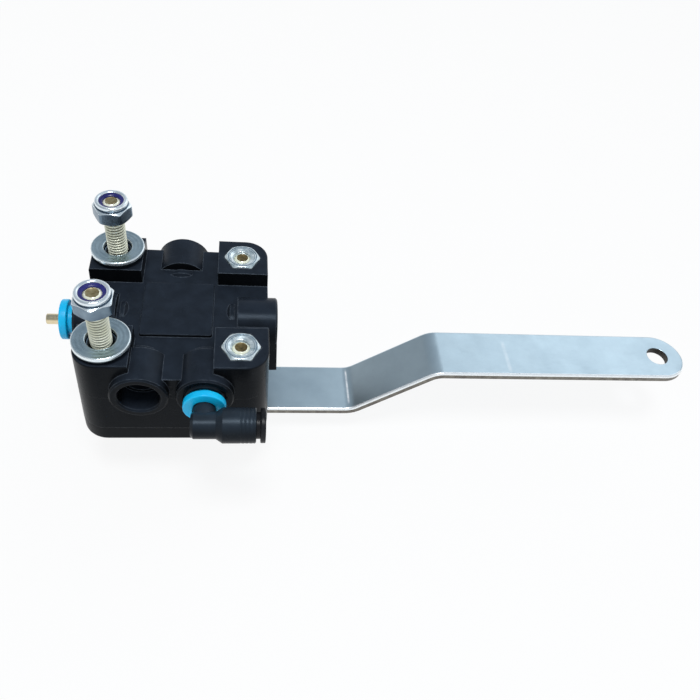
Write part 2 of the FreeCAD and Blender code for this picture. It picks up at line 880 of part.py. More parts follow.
def elbow_body():
    """Plug-in elbow: stem along the port, round knuckle, and a ringed barrel across it."""
    axis_out = elbow_stand_out
    across = FreeCAD.Rotation(UP, point(1, 0, 0))
    knuckle_radius = elbow_knuckle_diameter / 2
    barrel_radius = elbow_barrel_diameter / 2
    cone_end = elbow_knuckle_length + elbow_cone_length
    outline = [
        (0, -elbow_knuckle_overhang),
        (knuckle_radius - elbow_edge_radius, -elbow_knuckle_overhang),
        (knuckle_radius, -elbow_knuckle_overhang + elbow_edge_radius),
        (knuckle_radius, elbow_knuckle_length),
        (barrel_radius, cone_end),
    ]
    first_ring = elbow_barrel_end - elbow_ring_pitch * elbow_ring_count
    for ring in range(elbow_ring_count):
        start = first_ring + ring * elbow_ring_pitch
        outline += [
            (barrel_radius, start),
            (barrel_radius - elbow_ring_depth, start + elbow_ring_pitch / 4),
            (barrel_radius, start + elbow_ring_pitch / 2),
        ]
    outline += [
        (barrel_radius, elbow_barrel_end - elbow_mouth_chamfer),
        (barrel_radius - elbow_mouth_chamfer, elbow_barrel_end),
        (0, elbow_barrel_end),
    ]
    barrel = lathe(outline)
    mouth_end = elbow_barrel_end - elbow_mouth_depth
    chamber_end = mouth_end - elbow_chamber_depth
    socket_end = chamber_end - elbow_socket_depth
    bore = lathe([
        (0, elbow_barrel_end),
        (elbow_mouth_diameter / 2, elbow_barrel_end),
        (elbow_mouth_diameter / 2, mouth_end),
        (elbow_chamber_diameter / 2, mouth_end),
        (elbow_chamber_diameter / 2, chamber_end),
        (tube_bore / 2, chamber_end),
        (tube_bore / 2, socket_end),
        (elbow_stem_bore / 2, socket_end),
        (elbow_stem_bore / 2, 0),
        (0, 0),
    ])
    for shape in (barrel, bore):
        shape.Placement = FreeCAD.Placement(point(0, 0, axis_out), across)
    stem_end = -tube_socket_end + plug_stem_end_gap
    collar_bottom = collet_flange_face + elbow_collar_gap
    stem = rod(tube_diameter, stem_end, axis_out)
    collar = rod(elbow_collar_diameter, collar_bottom, axis_out)
    stem_bore = rod(elbow_stem_bore, stem_end, axis_out)
    return barrel.fuse([stem, collar]).removeSplitter().cut([bore, stem_bore])


def on_elbow(shape):
    """Put a shape made along Z, with Z pointing out of the barrel's mouth, on the elbow."""
    place, outward = PORTS["front_right"]
    mouth = place + outward * elbow_stand_out + point(elbow_barrel_end, 0, 0)
    return at_port(shape, (mouth, point(1, 0, 0)))


def elbow_collet():
    """Release collet in the mouth of the elbow's barrel."""
    nose_start = elbow_mouth_depth + collet_nose_play
    return collet(elbow_collet_flange_diameter, elbow_collet_flange_thickness, collet_stand_off,
                  elbow_collet_sleeve_diameter, elbow_collet_nose_diameter,
                  nose_start, elbow_collet_nose_length)


def elbow_grab_ring():
    """Grab ring in the elbow, below its collet."""
    outer = elbow_chamber_diameter - 2 * seal_clearance
    return grab_ring(outer, elbow_grab_ring_rim, -elbow_grab_ring_drop)


def elbow_tube_seal():
    """O-ring at the bottom of the elbow's chamber."""
    chamber_end = elbow_mouth_depth + elbow_chamber_depth
    middle = elbow_seal_section / 2 + seal_clearance - chamber_end
    return ring_seal(tube_bore, elbow_seal_section, middle)


os.makedirs("parts", exist_ok=True)

save(valve_body(), "valve_body")
save(base_cover(), "base_cover")
save(cover_seal_ring(0, 0), "cover_seal")
save(seat_gasket(), "seat_gasket")
save(valve_seat(), "valve_seat")
save(rotor_disc(), "rotor_disc")
save(disc_spring(), "disc_spring")
save(control_shaft(), "control_shaft")
save(shaft_bush(), "shaft_bush")
save(ring_seal(shaft_seal_bore, shaft_seal_section, shaft_seal_middle), "shaft_seal")
save(lever_arm(), "lever_arm")
save(lever_washer(), "lever_washer")
save(lever_nut(), "lever_nut")

save(Part.makeCompound([screw(mounting_bolt_length, x, y) for x, y in STUD_PLACES]), "mounting_bolts")
save(Part.makeCompound([screw(housing_screw_length, x, y) for x, y in SCREW_PLACES]), "housing_screws")
save(Part.makeCompound([captive_nut(x, y) for x, y in BOLT_SQUARE]), "captive_nuts")
save(Part.makeCompound([flat_washer(x, y) for x, y in STUD_PLACES]), "mounting_washers")
nut_places = zip(STUD_PLACES, lock_nut_turns)
save(Part.makeCompound([lock_nut(x, y, turn) for (x, y), turn in nut_places]), "lock_nuts")
save(Part.makeCompound([nylon_insert(x, y) for x, y in STUD_PLACES]), "lock_nut_inserts")

for name, port, stand_off in (("front", PORTS["front_right"], collet_stand_off),
                              ("left", PORTS["left"], left_collet_stand_off)):
    save(at_port(port_collet(stand_off), port), name + "_collet")
    save(at_port(cartridge(), port), name + "_cartridge")
    save(at_port(port_grab_ring(), port), name + "_grab_ring")
    save(at_port(port_tube_seal(), port), name + "_tube_seal")

save(at_port(port_plug(), PORTS["left"]), "port_plug")
save(at_port(elbow_body(), PORTS["front_right"]), "elbow_body")
save(on_elbow(elbow_collet()), "elbow_collet")
save(on_elbow(elbow_grab_ring()), "elbow_grab_ring")
save(on_elbow(elbow_tube_seal()), "elbow_tube_seal")
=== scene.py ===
# Leveling valve of an air suspension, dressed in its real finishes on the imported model.
# Lengths are written in millimetres and turned into metres by mm.
import math
import bmesh
import bpy
from mathutils import Matrix, Vector


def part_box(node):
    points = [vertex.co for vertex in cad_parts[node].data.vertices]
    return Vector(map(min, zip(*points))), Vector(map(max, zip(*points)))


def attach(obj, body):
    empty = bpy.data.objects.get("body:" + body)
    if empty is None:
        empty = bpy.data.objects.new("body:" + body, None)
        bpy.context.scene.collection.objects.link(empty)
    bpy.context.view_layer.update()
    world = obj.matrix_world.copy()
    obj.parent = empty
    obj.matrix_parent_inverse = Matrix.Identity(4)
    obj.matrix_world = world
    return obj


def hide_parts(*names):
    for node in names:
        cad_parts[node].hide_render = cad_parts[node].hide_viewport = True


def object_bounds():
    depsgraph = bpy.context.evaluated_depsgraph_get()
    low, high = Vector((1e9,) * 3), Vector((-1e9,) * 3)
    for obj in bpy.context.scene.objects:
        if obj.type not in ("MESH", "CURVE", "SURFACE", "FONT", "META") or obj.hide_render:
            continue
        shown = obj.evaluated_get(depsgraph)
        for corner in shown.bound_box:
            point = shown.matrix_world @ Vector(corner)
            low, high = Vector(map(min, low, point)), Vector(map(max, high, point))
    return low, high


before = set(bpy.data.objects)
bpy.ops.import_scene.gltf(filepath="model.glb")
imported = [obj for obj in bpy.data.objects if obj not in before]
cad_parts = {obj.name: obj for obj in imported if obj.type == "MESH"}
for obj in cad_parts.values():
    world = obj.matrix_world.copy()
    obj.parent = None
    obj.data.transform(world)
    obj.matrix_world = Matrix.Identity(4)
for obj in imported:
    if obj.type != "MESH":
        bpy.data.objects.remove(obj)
cad_low, cad_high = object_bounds()
mm = 0.001

# The table and its light: a white sheet under one soft lamp almost overhead, a pale window
# behind on the right, and a room that is white low down and dimmer overhead and on the left.
# The sheet shows white by itself and still takes a soft shadow from the valve.
scene = bpy.context.scene
scene.view_settings.view_transform = "Standard"


def node(tree, kind, takes=None, **settings):
    """Add a shader node; it takes values or other nodes' outputs, by socket name or number."""
    made = tree.nodes.new(kind)
    for setting, value in settings.items():
        setattr(made, setting, value)
    for socket, value in (takes or {}).items():
        if isinstance(value, bpy.types.NodeSocket):
            tree.links.new(value, made.inputs[socket])
        else:
            made.inputs[socket].default_value = value
    return made


def maths(tree, operation, *values):
    """One step of arithmetic on numbers or on other nodes' outputs."""
    return node(tree, "ShaderNodeMath", dict(enumerate(values)), operation=operation).outputs[0]


def graded(tree, value, start, end, low=0.0, high=1.0, curve="LINEAR"):
    """Go from low to high as the value goes from start to end, and stay there beyond them."""
    takes = {"Value": value, 1: start, 2: end, 3: low, 4: high}
    return node(tree, "ShaderNodeMapRange", takes, interpolation_type=curve).outputs[0]


def sheet_finish(own_white):
    """White paper; its own white is the share of it that the camera and reflections always see."""
    sheet = bpy.data.materials.new("white_sheet")
    sheet.use_nodes = True
    tree = sheet.node_tree
    tree.nodes.clear()
    ray = node(tree, "ShaderNodeLightPath").outputs
    seen = maths(tree, "MAXIMUM", ray["Is Camera Ray"], ray["Is Glossy Ray"])
    seen = maths(tree, "MAXIMUM", seen, ray["Is Transmission Ray"])
    share = maths(tree, "MULTIPLY", seen, own_white)
    fibre = node(tree, "ShaderNodeTexNoise", {"Scale": 900.0, "Detail": 4.0}).outputs[0]
    tone = graded(tree, fibre, 0.0, 1.0, 0.86, 0.92)
    paper = node(tree, "ShaderNodeBsdfDiffuse", {"Color": tone}).outputs[0]
    white = node(tree, "ShaderNodeEmission", {"Color": (1, 1, 1, 1), "Strength": 1.0}).outputs[0]
    both = node(tree, "ShaderNodeMixShader", {0: share, 1: paper, 2: white}).outputs[0]
    node(tree, "ShaderNodeOutputMaterial", {"Surface": both})
    return sheet


sheet_width = 40.0  # metres, so that it fills the view to the horizon
sheet_gap = 0.05
sheet_height = cad_low[2] - sheet_gap * mm
bpy.ops.mesh.primitive_plane_add(size=sheet_width, location=(0, 0, sheet_height))
table = bpy.context.object
table.name = "white_table"
table.data.materials.append(sheet_finish(own_white=0.88))

room = bpy.data.worlds.new("soft_room")
room.use_nodes = True
air = room.node_tree
air.nodes.clear()
around = node(air, "ShaderNodeTexCoord").outputs["Generated"]
way = node(air, "ShaderNodeSeparateXYZ", {0: around}).outputs
shade = node(air, "ShaderNodeValToRGB", {0: way["Z"]})
stops = shade.color_ramp.elements
stops[0].position, stops[0].color = 0.10, (1.0, 1.0, 1.0, 1)
stops[1].position, stops[1].color = 1.0, (0.25, 0.29, 0.33, 1)
stops.new(0.35).color = (0.64, 0.68, 0.72, 1)
stops.new(0.70).color = (0.46, 0.52, 0.58, 1)
off_the_floor = graded(air, way["Z"], 0.05, 0.30)
on_the_left = graded(air, way["X"], 0.05, -0.60, 0.0, 0.45)
level = maths(air, "SUBTRACT", 1.0, maths(air, "MULTIPLY", off_the_floor, on_the_left))
sky = node(air, "ShaderNodeBackground", {0: shade.outputs[0], 1: level}).outputs[0]
node(air, "ShaderNodeOutputWorld", {0: sky})
scene.world = room


def soft_lamp(name, way_to, distance, size, power, tint):
    """Square lamp that looks at the valve from one direction; metres and watts."""
    lamp = bpy.data.lights.new(name, "AREA")
    lamp.shape = "SQUARE"
    lamp.size = size
    lamp.energy = power
    lamp.color = tint
    holder = bpy.data.objects.new(name, lamp)
    towards = Vector(way_to).normalized()
    holder.location = towards * distance
    holder.rotation_euler = towards.to_track_quat("Z", "Y").to_euler()
    scene.collection.objects.link(holder)


soft_lamp("lamp_above", (0.0, -0.22, 0.975), distance=1.0, size=0.29, power=6.1,
          tint=(0.97, 0.99, 1.0))
soft_lamp("window_behind", (0.52, 0.60, 0.60), distance=1.3, size=0.70, power=1.2,
          tint=(0.92, 0.97, 1.0))

# The camera stands where the photograph was taken, above and in front of the port pair.
# Its place and lens come from the fit of known points of the valve to the picture.
camera = bpy.data.objects.new("picture_camera", bpy.data.cameras.new("picture_camera"))
camera.data.lens = 36.97
camera.data.sensor_width = 36.0
camera.data.clip_start = 0.005
camera_stand = Vector((18.0, -155.7, 155.0)) * mm
look = Vector((0.1545, 0.6526, -0.7417)).normalized()
fitted_side = Vector((0.9878, -0.0882, 0.1282))
side = (fitted_side - fitted_side.dot(look) * look).normalized()
camera_turn = Matrix((side, side.cross(look), -look)).transposed()
camera.matrix_world = Matrix.Translation(camera_stand) @ camera_turn.to_4x4()
scene.collection.objects.link(camera)
scene.camera = camera

# The housing is one moulding of black glass-filled nylon. Its skin is satin, slightly cloudy where
# the melt met the cold tool, with eased edges, a parting line round it just below the port axes,
# and three shallow marks where pins pushed it out of the mould.
FLOAT, COLOUR, VECTOR = "NodeSocketFloat", "NodeSocketColor", "NodeSocketVector"


def effect(name, takes, gives):
    """Start a shader node group: its tree and the outputs of its input node."""
    tree = bpy.data.node_groups.new(name, "ShaderNodeTree")
    for label, kind, value in takes:
        tree.interface.new_socket(label, in_out="INPUT", socket_type=kind).default_value = value
    for label, kind in gives:
        tree.interface.new_socket(label, in_out="OUTPUT", socket_type=kind)
    return tree, tree.nodes.new("NodeGroupInput").outputs


def use(tree, group, takes=None):
    """Place one of the shared effects in a material."""
    return node(tree, "ShaderNodeGroup", takes, node_tree=group).outputs


def clouds(tree, per_metre, detail, across=None, **more):
    """Noise over the given coordinates, or else over the piece's own."""
    if across is None:
        across = node(tree, "ShaderNodeTexCoord").outputs["Object"]
    takes = {"Vector": across, "Scale": per_metre, "Detail": detail, **more}
    return node(tree, "ShaderNodeTexNoise", takes).outputs[0]


def blended(tree, share, under, over):
    """Colour between two, nearer the second as the share grows."""
    return node(tree, "ShaderNodeMix", {0: share, 6: under, 7: over}, data_type="RGBA").outputs[2]


def build_cloudy_tone():
    """A pale and a deep tone in soft clouds."""
    tree, given = effect("cloudy_tone", [
        ("Pale", COLOUR, (0.5, 0.5, 0.5, 1)), ("Deep", COLOUR, (0.2, 0.2, 0.2, 1)),
        ("Clouds per metre", FLOAT, 120.0)], [("Color", COLOUR), ("Clouds", FLOAT)])
    cloud = graded(tree, clouds(tree, given["Clouds per metre"], 5.0, Roughness=0.6), 0.32, 0.68)
    tone = blended(tree, cloud, given["Deep"], given["Pale"])
    node(tree, "NodeGroupOutput", {"Color": tone, "Clouds": cloud})
    return tree


def build_eased_edges():
    """Edges rounded by the light alone, and a patchy mask along them for wear and painted
    highlight.
    """
    tree, given = effect("eased_edges", [("Rounding", FLOAT, 0.0003)],
                         [("Edges", FLOAT), ("Normal", VECTOR)])
    rounded = node(tree, "ShaderNodeBevel", {"Radius": given["Rounding"]}, samples=6).outputs[0]
    straight = node(tree, "ShaderNodeNewGeometry").outputs["Normal"]
    facing = node(tree, "ShaderNodeVectorMath", {0: rounded, 1: straight}, operation="DOT_PRODUCT")
    near_edge = graded(tree, facing.outputs["Value"], 0.985, 0.86)
    patches = graded(tree, clouds(tree, 420.0, 3.0), 0.35, 0.62, 0.40)
    worn_and_lit = maths(tree, "MULTIPLY", near_edge, patches)
    node(tree, "NodeGroupOutput", {"Edges": worn_and_lit, "Normal": rounded})
    return tree


def build_moulded_grain():
    """Fine grain on a slow ripple, and rare hairline scuffs."""
    tree, given = effect("moulded_grain", [("Grains per metre", FLOAT, 3500.0)],
                         [("Height", FLOAT), ("Scuffs", FLOAT)])
    grain = clouds(tree, given["Grains per metre"], 3.0, Roughness=0.55)
    height = maths(tree, "MULTIPLY_ADD", clouds(tree, 260.0, 2.0), 4.0, grain)
    stroke = maths(tree, "SUBTRACT", clouds(tree, 330.0, 2.0, Distortion=1.6), 0.5)
    hairline = graded(tree, maths(tree, "ABSOLUTE", stroke), 0.006, 0.001)
    rare = graded(tree, clouds(tree, 90.0, 1.0), 0.52, 0.64)
    scuffs = maths(tree, "MULTIPLY", hairline, rare)
    node(tree, "NodeGroupOutput", {"Height": height, "Scuffs": scuffs})
    return tree


def build_dust_and_top_sheen():
    """Thin dust and a painted sheen on what faces up."""
    tree, given = effect("dust_and_top_sheen", [("Patches per metre", FLOAT, 240.0)], [("Dust_and_sheen", FLOAT)])
    facing = node(tree, "ShaderNodeTexCoord").outputs["Normal"]
    facing = node(tree, "ShaderNodeSeparateXYZ", {0: facing}).outputs
    upward = graded(tree, facing["Z"], 0.30, 0.95, curve="SMOOTHSTEP")
    patches = graded(tree, clouds(tree, given["Patches per metre"], 4.0), 0.35, 0.65, 0.7)
    node(tree, "NodeGroupOutput", {"Dust_and_sheen": maths(tree, "MULTIPLY", upward, patches)})
    return tree


cloudy_tone = build_cloudy_tone()
eased_edges = build_eased_edges()
moulded_grain = build_moulded_grain()
dust_and_top_sheen = build_dust_and_top_sheen()


def plastic(name, pale, deep, *, roughness, grains, rounding, specular, marks=None,
            sheen=(1, 1, 1, 1), edge_wear_and_highlight=None, dust_and_sheen=None):
    """Moulded plastic: cloudy tone, fine grain, hairline scuffs and edges made paler as wear and
    as painted highlight, and with a colour for dust and sheen a film of dust and a painted sheen
    on what faces up."""
    finish = bpy.data.materials.new(name)
    finish.use_nodes = True
    tree = finish.node_tree
    skin = tree.nodes["Principled BSDF"].inputs
    tone = use(tree, cloudy_tone, {"Pale": pale, "Deep": deep, "Clouds per metre": 95.0})
    edges = use(tree, eased_edges, {"Rounding": rounding * mm})
    grain = use(tree, moulded_grain, {"Grains per metre": grains})
    paler = [min(1.0, channel * 1.6 + 0.008) for channel in pale[:3]] + [1]
    colour = tone["Color"]
    # What faces up gets a film of dust and a painted sheen.
    if dust_and_sheen:
        colour = blended(tree, use(tree, dust_and_top_sheen)["Dust_and_sheen"], colour, dust_and_sheen)
    # Edges get wear and a painted highlight, strongest where their rounding faces up.
    facing = node(tree, "ShaderNodeSeparateXYZ", {0: edges["Normal"]}).outputs
    lit_from_above = graded(tree, facing["Z"], 0.05, 0.60, 0.25)
    worn_and_lit_edges = maths(tree, "MULTIPLY", edges["Edges"], lit_from_above)
    colour = blended(tree, worn_and_lit_edges, colour, edge_wear_and_highlight or paler)
    colour = blended(tree, grain["Scuffs"], colour, paler)
    tree.links.new(colour, skin["Base Color"])
    shine = graded(tree, tone["Clouds"], 0.0, 1.0, roughness - 0.05, roughness + 0.06)
    shine = maths(tree, "MULTIPLY_ADD", edges["Edges"], -0.08, shine)
    tree.links.new(shine, skin["Roughness"])
    height = marks(tree, grain["Height"]) if marks else grain["Height"]
    bump = node(tree, "ShaderNodeBump", {
        "Strength": 0.35, "Distance": 0.02 * mm, "Height": height, "Normal": edges["Normal"]})
    tree.links.new(bump.outputs[0], skin["Normal"])
    skin["Specular IOR Level"].default_value = specular
    skin["Specular Tint"].default_value = sheen
    return finish


parting_height = -13.4
parting_half_width = 0.09
pin_marks = (  # middle and radius, one on the deck's front step and two between the front ports
    ((-1.6, -14.9, -5.2), 0.7), ((-0.6, -27.0, -8.9), 0.8), ((-0.8, -27.0, -12.1), 0.6))


def mould_marks(tree, height):
    """Add the parting line and the pin marks to the height of the grain."""
    place = node(tree, "ShaderNodeTexCoord").outputs["Object"]
    level = node(tree, "ShaderNodeSeparateXYZ", {0: place}).outputs["Z"]
    off = maths(tree, "ABSOLUTE", maths(tree, "ADD", level, -parting_height * mm))
    seam = graded(tree, off, parting_half_width * mm, 0.02 * mm)
    height = maths(tree, "MULTIPLY_ADD", seam, 5.0, height)
    for spot, radius in pin_marks:
        apart = node(tree, "ShaderNodeVectorMath", {0: place, 1: Vector(spot) * mm},
                     operation="DISTANCE").outputs["Value"]
        dent = graded(tree, apart, radius * mm, radius * 0.8 * mm)
        height = maths(tree, "MULTIPLY_ADD", dent, -9.0, height)
    return height


def dress(name, finish):
    """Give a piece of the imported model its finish, in every material slot it has."""
    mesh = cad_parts[name].data
    if not mesh.materials:
        mesh.materials.append(finish)
    for index in range(len(mesh.materials)):
        mesh.materials[index] = finish


# The housing's upward faces carry dust and a painted sheen, and its edges wear and a painted
# highlight.
dress("valve_body", plastic(
    "housing_black", (0.0050, 0.0058, 0.0072, 1), (0.0026, 0.0032, 0.0040, 1), roughness=0.26,
    grains=3200.0, rounding=0.45, specular=0.065, marks=mould_marks, sheen=(0.66, 0.82, 1.0, 1),
    edge_wear_and_highlight=(0.105, 0.125, 0.155, 1), dust_and_sheen=(0.0175, 0.0235, 0.034, 1)))

# The base cover is moulded from the same nylon in a second tool, a little duller from handling,
# and closes the valve chamber with a ring of black rubber in the joint. The other seals are of
# the same rubber.
dress("base_cover", plastic(
    "cover_black", (0.0052, 0.0058, 0.0070, 1), (0.0028, 0.0032, 0.0040, 1), roughness=0.34,
    grains=2400.0, rounding=0.3, specular=0.06, sheen=(0.70, 0.84, 1.0, 1)))
rubber = plastic("sealing_rubber", (0.022, 0.022, 0.022, 1), (0.010, 0.010, 0.010, 1),
                 roughness=0.62, grains=1500.0, rounding=0.12, specular=0.25)
for seal in ("cover_seal", "seat_gasket", "shaft_seal", "front_tube_seal", "left_tube_seal",
             "elbow_tube_seal"):
    dress(seal, rubber)

# Inside the chamber a lapped steel seat faces a turning disc of pale acetal, pressed up by a
# cone spring on the shaft's flange. The bush in the cover is sintered bronze. The grab rings of
# the ports are stamped from the same steel as the spring.


def build_machined_lines():
    """Fine lines from rolling, turning or drawing, and how they scatter the light."""
    tree, given = effect("machined_lines", [
        ("Stretch", VECTOR, (1.0, 1.0, 1.0)), ("Lines per metre", FLOAT, 4000.0),
    ], [("Height", FLOAT), ("Sheen", FLOAT)])
    place = node(tree, "ShaderNodeTexCoord").outputs["Object"]
    drawn = node(tree, "ShaderNodeVectorMath", {0: place, 1: given["Stretch"]},
                 operation="MULTIPLY").outputs[0]
    lines = clouds(tree, given["Lines per metre"], 3.0, drawn, Roughness=0.7)
    sheen = maths(tree, "MULTIPLY", lines, clouds(tree, 160.0, 4.0))
    node(tree, "NodeGroupOutput", {"Height": lines, "Sheen": graded(tree, sheen, 0.12, 0.40)})
    return tree


machined_lines = build_machined_lines()


def metal(name, pale, deep, *, roughness, spread, lines=4000.0, stretch=(1, 1, 1), rounding=0.12,
          depth=0.006, cloudiness=260.0, root_shade=None, edge_wear_and_highlight=None, metallic=1.0):
    """Bare or plated metal: cloudy tone, fine lines from making it, and edges lightened as wear
    and as painted highlight. With a colour for the roots of a thread, painted shade darkens them
    and they are duller."""
    finish = bpy.data.materials.new(name)
    finish.use_nodes = True
    tree = finish.node_tree
    skin = tree.nodes["Principled BSDF"].inputs
    tone = use(tree, cloudy_tone, {"Pale": pale, "Deep": deep, "Clouds per metre": cloudiness})
    edges = use(tree, eased_edges, {"Rounding": rounding * mm})
    marks = use(tree, machined_lines, {"Stretch": stretch, "Lines per metre": lines})
    # Edges are lightened as wear and as painted highlight.
    bright = edge_wear_and_highlight or [min(1.0, channel * 1.15 + 0.06) for channel in pale[:3]] + [1]
    colour = blended(tree, edges["Edges"], tone["Color"], bright)
    shine = graded(tree, marks["Sheen"], 0.0, 1.0, roughness - spread, roughness + spread)
    # Painted shade darkens the roots of a thread, which are also rougher.
    if root_shade:
        sunk = node(tree, "ShaderNodeAttribute", attribute_name="sunk").outputs["Fac"]
        colour = blended(tree, sunk, colour, root_shade)
        shine = maths(tree, "MULTIPLY_ADD", sunk, 0.25, shine)
    tree.links.new(colour, skin["Base Color"])
    tree.links.new(shine, skin["Roughness"])
    bump = node(tree, "ShaderNodeBump", {
        "Strength": 0.5, "Distance": depth * mm, "Height": marks["Height"],
        "Normal": edges["Normal"]})
    tree.links.new(bump.outputs[0], skin["Normal"])
    skin["Metallic"].default_value = metallic
    return finish


dress("valve_seat", metal("lapped_steel", (0.66, 0.67, 0.68, 1), (0.55, 0.56, 0.58, 1),
                          roughness=0.22, spread=0.06, lines=9000.0))
dress("rotor_disc", plastic("disc_acetal", (0.72, 0.70, 0.64, 1), (0.60, 0.58, 0.52, 1),
                            roughness=0.42, grains=2600.0, rounding=0.15, specular=0.5))
spring_steel = metal("spring_steel", (0.48, 0.48, 0.49, 1), (0.34, 0.34, 0.36, 1),
                     roughness=0.30, spread=0.08)
for spring in ("disc_spring", "front_grab_ring", "left_grab_ring", "elbow_grab_ring"):
    dress(spring, spring_steel)
dress("shaft_bush", metal("sintered_bronze", (0.55, 0.36, 0.17, 1), (0.36, 0.23, 0.11, 1),
                          roughness=0.45, spread=0.08, lines=6000.0))

# The control shaft is turned from bright steel: a flange and drive blade inside, a plain stem in
# the bush, two flats for the lever, and a rolled M8 thread on the end below them.
screw_points = 72  # round the shaft and each screw
m8_crest, m8_pitch = 4.0, 1.25


def skin_rings(bm, rings, closed):
    """Join rings of points with faces; a ring is one point where the piece closes on its axis."""
    pairs = list(zip(rings, rings[1:]))
    if closed:
        pairs.append((rings[-1], rings[0]))
    for low, high in pairs:
        for step in range(max(len(low), len(high))):
            corners = []
            for ring, index in ((low, step), (low, step + 1), (high, step + 1), (high, step)):
                corner = ring[index % len(ring)]
                if corner not in corners:
                    corners.append(corner)
            bm.faces.new(corners)


def ring_of(bm, radius, height, steps, centre=(0.0, 0.0), turn=0.0):
    """Ring of points about an upright axis; the radius and height may change with the angle."""
    if radius == 0:
        return [bm.verts.new(Vector((centre[0], centre[1], height)) * mm)]
    points = []
    for step in range(steps):
        angle = 2 * math.pi * step / steps
        far = radius(angle) if callable(radius) else radius
        high = height(angle) if callable(height) else height
        x = centre[0] + far * math.cos(angle + turn)
        y = centre[1] + far * math.sin(angle + turn)
        points.append(bm.verts.new(Vector((x, y, high)) * mm))
    return points


def rings_of(bm, outline, steps, centre=(0.0, 0.0)):
    """One ring for each (radius, height) of an outline."""
    return [ring_of(bm, radius, height, steps, centre) for radius, height in outline]


def thread_radius(crest, pitch, height, clearance=0.0):
    """Radius of a rolled thread at one height, as a function of the angle."""
    depth, steepness, crest_flat = 0.54 * pitch, 1.25, 0.12

    def radius(angle):
        along = (height / pitch - angle / (2 * math.pi)) % 1.0
        flank = abs(2 * along - 1)
        return crest + clearance - depth * min(1.0, max(0.0, steepness * flank - crest_flat))
    return radius


def capped(radius, most):
    """Radius function that never passes a chamfer."""
    return lambda angle: min(radius(angle), most)


def threaded_rings(bm, crest, pitch, low, high, end, flat, centre=(0.0, 0.0)):
    """Rings of a thread from low to high, cut back by a chamfer that leaves a flat at its end."""
    rows_in_turn = 10
    rings = []
    rows = round((high - low) / pitch * rows_in_turn)
    for row in range(rows + 1):
        height = low + (high - low) * row / rows
        radius = capped(thread_radius(crest, pitch, height), flat + abs(end - height))
        rings.append(ring_of(bm, radius, height, screw_points, centre))
    return rings


def finished(name, bm, finishes, body, nodes, sharp=32.0, bevel=None, place=None, which=None):
    """Turn built faces into a piece that rides on its body in place of the plain one. From the
    middle and normal of a face, which gives the number of its finish."""
    bmesh.ops.recalc_face_normals(bm, faces=bm.faces)
    if which:
        for face in bm.faces:
            face.material_index = which(face.calc_center_median() / mm, face.normal)
    mesh = bpy.data.meshes.new(name)
    bm.to_mesh(mesh)
    bm.free()
    if place:
        mesh.transform(place)
    for polygon in mesh.polygons:
        polygon.use_smooth = True
    mesh.set_sharp_from_angle(angle=math.radians(sharp))
    for finish in finishes:
        mesh.materials.append(finish)
    piece = bpy.data.objects.new(name, mesh)
    scene.collection.objects.link(piece)
    if bevel:
        ease = piece.modifiers.new("eased", "BEVEL")
        ease.width = bevel * mm
        ease.segments = 2
        ease.limit_method = "WEIGHT"
    even = piece.modifiers.new("even", "WEIGHTED_NORMAL")
    even.keep_sharp = True
    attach(piece, body)
    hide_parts(*nodes)


shaft_steel = metal("turned_steel", (0.60, 0.61, 0.63, 1), (0.50, 0.51, 0.53, 1), roughness=0.28,
                    spread=0.07, lines=5200.0, stretch=(0.1, 0.1, 1))
shaft_low, shaft_high = (corner.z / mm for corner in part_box("control_shaft"))
bar_thickness = 2.5
lever_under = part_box("lever_arm")[0].z / mm
lever_over = lever_under + bar_thickness
flange_radius, flange_top, flange_under = 11.0, shaft_high - 4.0, shaft_high - 6.4
blade_width, blade_thickness = 11.0, 3.0
stem_radius = 5.0
flats_half = 3.0


def two_flats(angle):
    """The stem is M8 size beside the lever, with two flats across it."""
    return min(m8_crest, flats_half / max(abs(math.cos(angle)), 1e-6))


bm = bmesh.new()
shaft_rings = rings_of(bm, [
    (0, flange_top), (flange_radius - 0.3, flange_top), (flange_radius, flange_top - 0.3),
    (flange_radius, flange_under + 0.3), (flange_radius - 0.3, flange_under),
    (stem_radius + 0.1, flange_under), (stem_radius, flange_under - 0.1),
    (stem_radius, lever_over + 0.2), (stem_radius - 0.2, lever_over), (two_flats, lever_over),
    (two_flats, lever_under), (3.6, lever_under - 0.05)], screw_points)
shaft_rings += reversed(threaded_rings(bm, m8_crest, m8_pitch, shaft_low, lever_under - 0.3,
                                       end=shaft_low, flat=3.2))
shaft_rings += rings_of(bm, [(0, shaft_low)], screw_points)
skin_rings(bm, shaft_rings, False)
blade = Matrix.Translation(Vector((0, 0, (flange_top + shaft_high) / 2)) * mm)
blade = blade @ Matrix.Diagonal((blade_width * mm, blade_thickness * mm,
                                 (shaft_high - flange_top + 0.2) * mm, 1.0))
bmesh.ops.create_cube(bm, size=1.0, matrix=blade)
finished("shaft_turned", bm, [shaft_steel], "lever", ["control_shaft"])

# Two long M6 studs and two short screws come up from below through cover and housing. All four
# are socket screws in yellow passivated zinc, with rolled threads and a chamfer at the end.
m6_crest, m6_pitch = 3.0, 1.0
square_half = 38.0 / 2  # the four stand on a square of 38 mm
key_flats = 4.0
end_flat = 1.85  # radius left by the chamfer
# Where painted shade starts in the thread roots, and over what depth it fades in.
shade_start, shade_depth = 0.24, 0.16  # below the crest
yellow_zinc = metal("yellow_zinc", (1.0, 1.0, 0.84, 1), (0.95, 0.94, 0.72, 1), roughness=0.20,
                    spread=0.06, lines=5000.0, rounding=0.03, root_shade=(0.075, 0.080, 0.040, 1),
                    metallic=0.15)
cut_end = metal("cut_end", (0.46, 0.40, 0.24, 1), (0.25, 0.18, 0.08, 1), roughness=0.44,
                spread=0.08, lines=2600.0, rounding=0.05, cloudiness=900.0)
